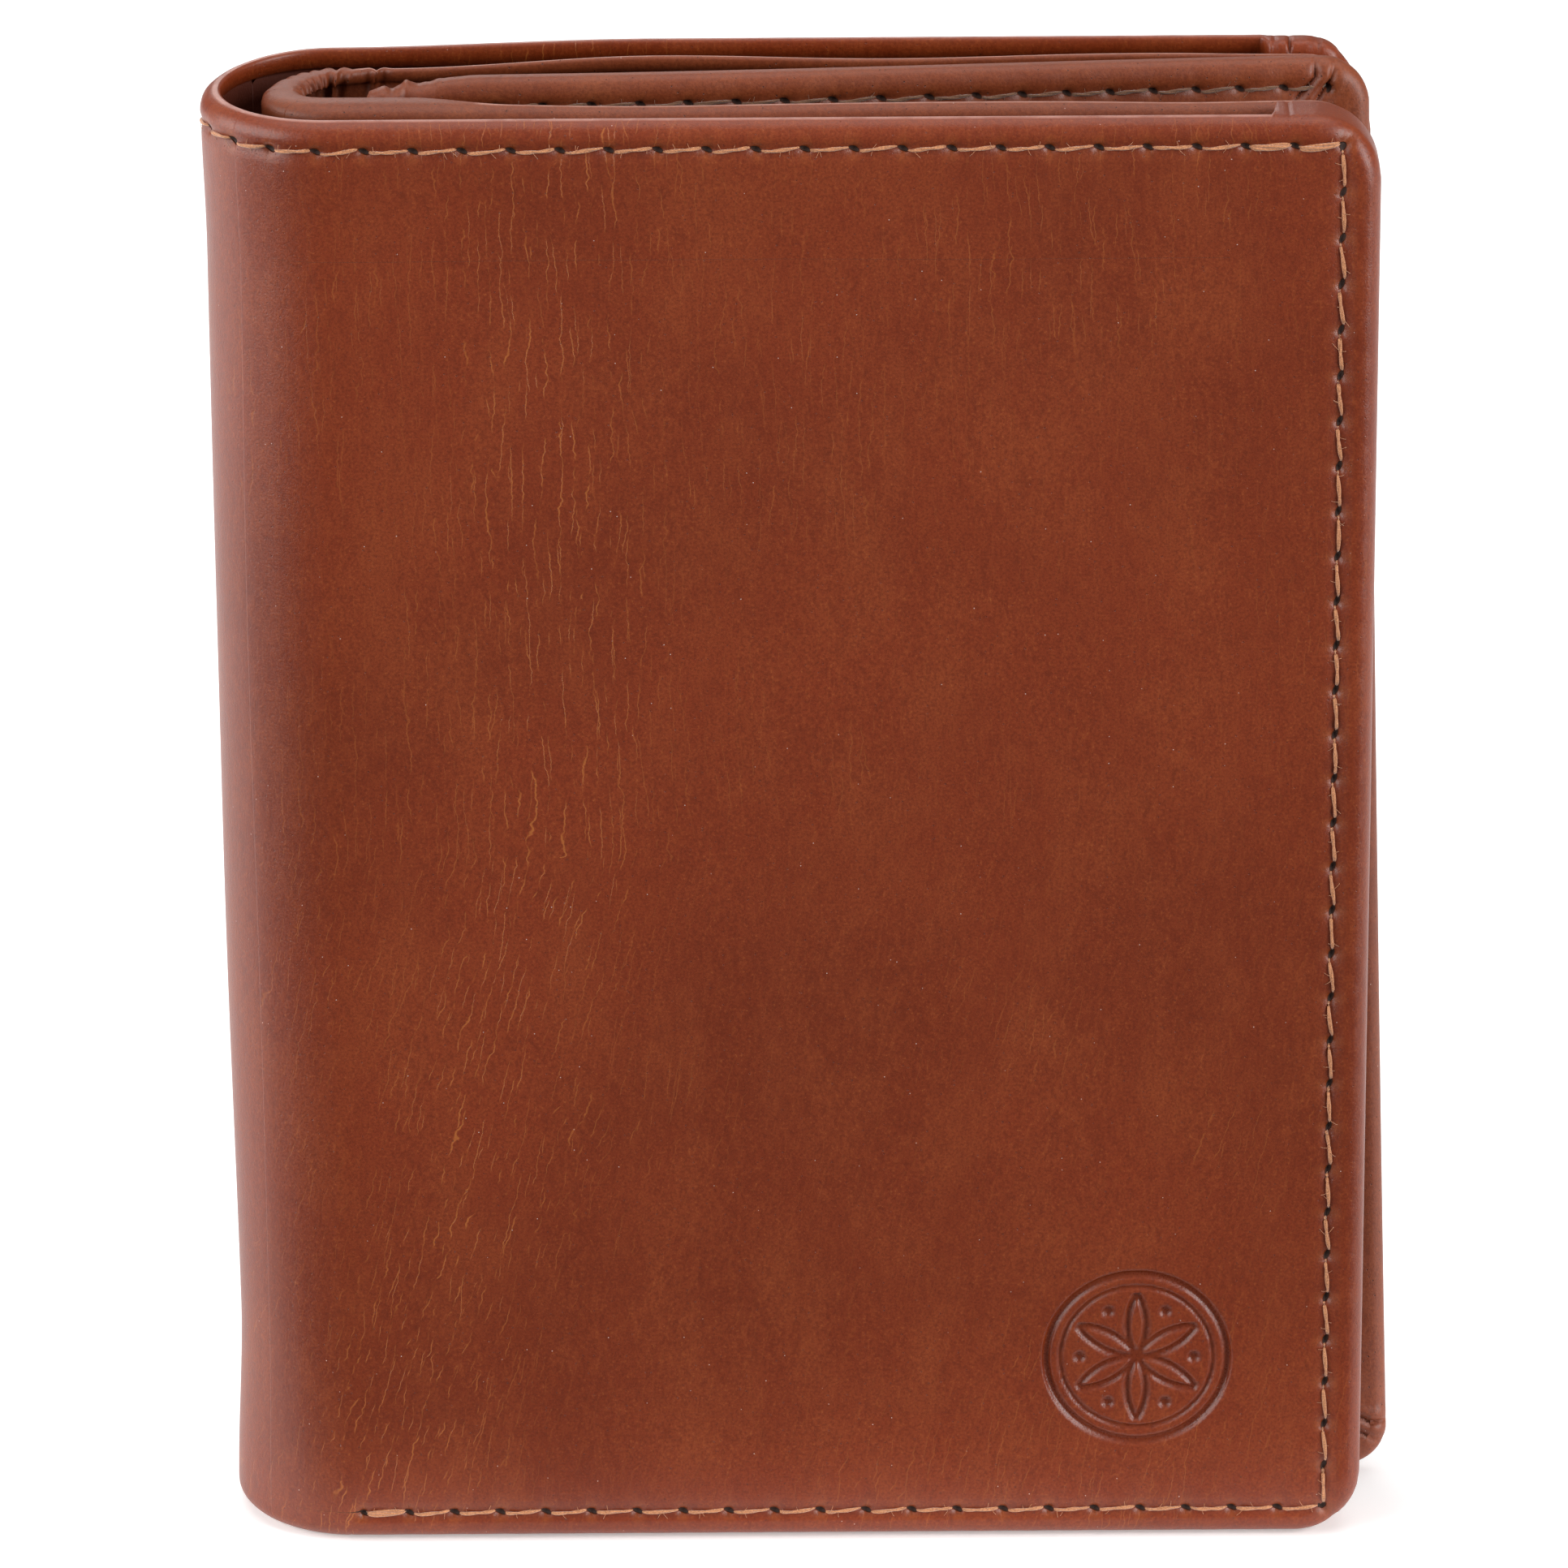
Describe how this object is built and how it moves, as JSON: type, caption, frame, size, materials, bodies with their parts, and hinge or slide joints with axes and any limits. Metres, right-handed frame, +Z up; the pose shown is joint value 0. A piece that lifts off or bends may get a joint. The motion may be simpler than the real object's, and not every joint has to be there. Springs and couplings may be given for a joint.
{
  "type": "trifold wallet",
  "caption": "Upright folding leather wallet: outer cover with a rounded spine, inner fold with card slots, and a hinged middle leaf with a clear window.",
  "frame": {"origin": "middle of the bottom of the whole object's box, on the surface that the wallet stands on", "axes": "+X from the spine to the free edges, +Y from the front cover to the back cover, +Z up along the spine"},
  "size_m": [0.0974, 0.021, 0.125],
  "materials": {
    "outer_leather": "waxed pull-up leather, satin, cognac brown",
    "inner_leather": "fine-grained reddish brown leather, matte satin",
    "lining_fabric": "thin woven lining, dark brown",
    "window_film": "clear soft film, glossy"
  },
  "bodies": {
    "back_cover": {"back_shell": "outer_leather", "back_note_lining": "lining_fabric", "back_inner_panel": "inner_leather", "back_card_slot_1": "inner_leather", "back_card_slot_2": "inner_leather", "back_card_slot_3": "inner_leather", "back_card_pocket": "inner_leather", "leaf_hinge_strip": "inner_leather"},
    "spine_1": {"spine_shell_1": "outer_leather", "inner_fold_1": "inner_leather"},
    "spine_2": {"spine_shell_2": "outer_leather", "inner_fold_2": "inner_leather"},
    "spine_3": {"spine_shell_3": "outer_leather", "inner_fold_3": "inner_leather"},
    "front_cover": {"front_shell": "outer_leather", "front_note_lining": "lining_fabric", "front_inner_panel": "inner_leather", "front_card_slot_1": "inner_leather", "front_card_slot_2": "inner_leather", "front_card_slot_3": "inner_leather", "front_card_pocket": "inner_leather"},
    "leaf": {"leaf_front": "inner_leather", "leaf_back": "inner_leather", "leaf_window": "window_film"}
  },
  "joints": [
    {"name": "spine_fold_1", "type": "hinge", "parent": "back_cover", "child": "spine_1", "pos_m": [-0.04255, 0.0105, 0], "axis": [0, 0, -1], "range_deg": [0, 45]},
    {"name": "spine_fold_2", "type": "hinge", "parent": "spine_1", "child": "spine_2", "pos_m": [-0.0487, 0.00435, 0], "axis": [0, 0, -1], "range_deg": [0, 45]},
    {"name": "spine_fold_3", "type": "hinge", "parent": "spine_2", "child": "spine_3", "pos_m": [-0.0487, -0.00435, 0], "axis": [0, 0, -1], "range_deg": [0, 45]},
    {"name": "front_fold", "type": "hinge", "parent": "spine_3", "child": "front_cover", "pos_m": [-0.04255, -0.0105, 0], "axis": [0, 0, -1], "range_deg": [0, 45]},
    {"name": "leaf_fold", "type": "hinge", "parent": "back_cover", "child": "leaf", "pos_m": [-0.03505, 0.00015, 0], "axis": [0, 0, -1], "range_deg": [0, 90]}
  ],
  "couplings": [
    {"joint": "spine_fold_2", "follows": "spine_fold_1", "ratio": 1},
    {"joint": "spine_fold_3", "follows": "spine_fold_1", "ratio": 1},
    {"joint": "front_fold", "follows": "spine_fold_1", "ratio": 1},
    {"joint": "leaf_fold", "follows": "spine_fold_1", "ratio": 2}
  ]
}
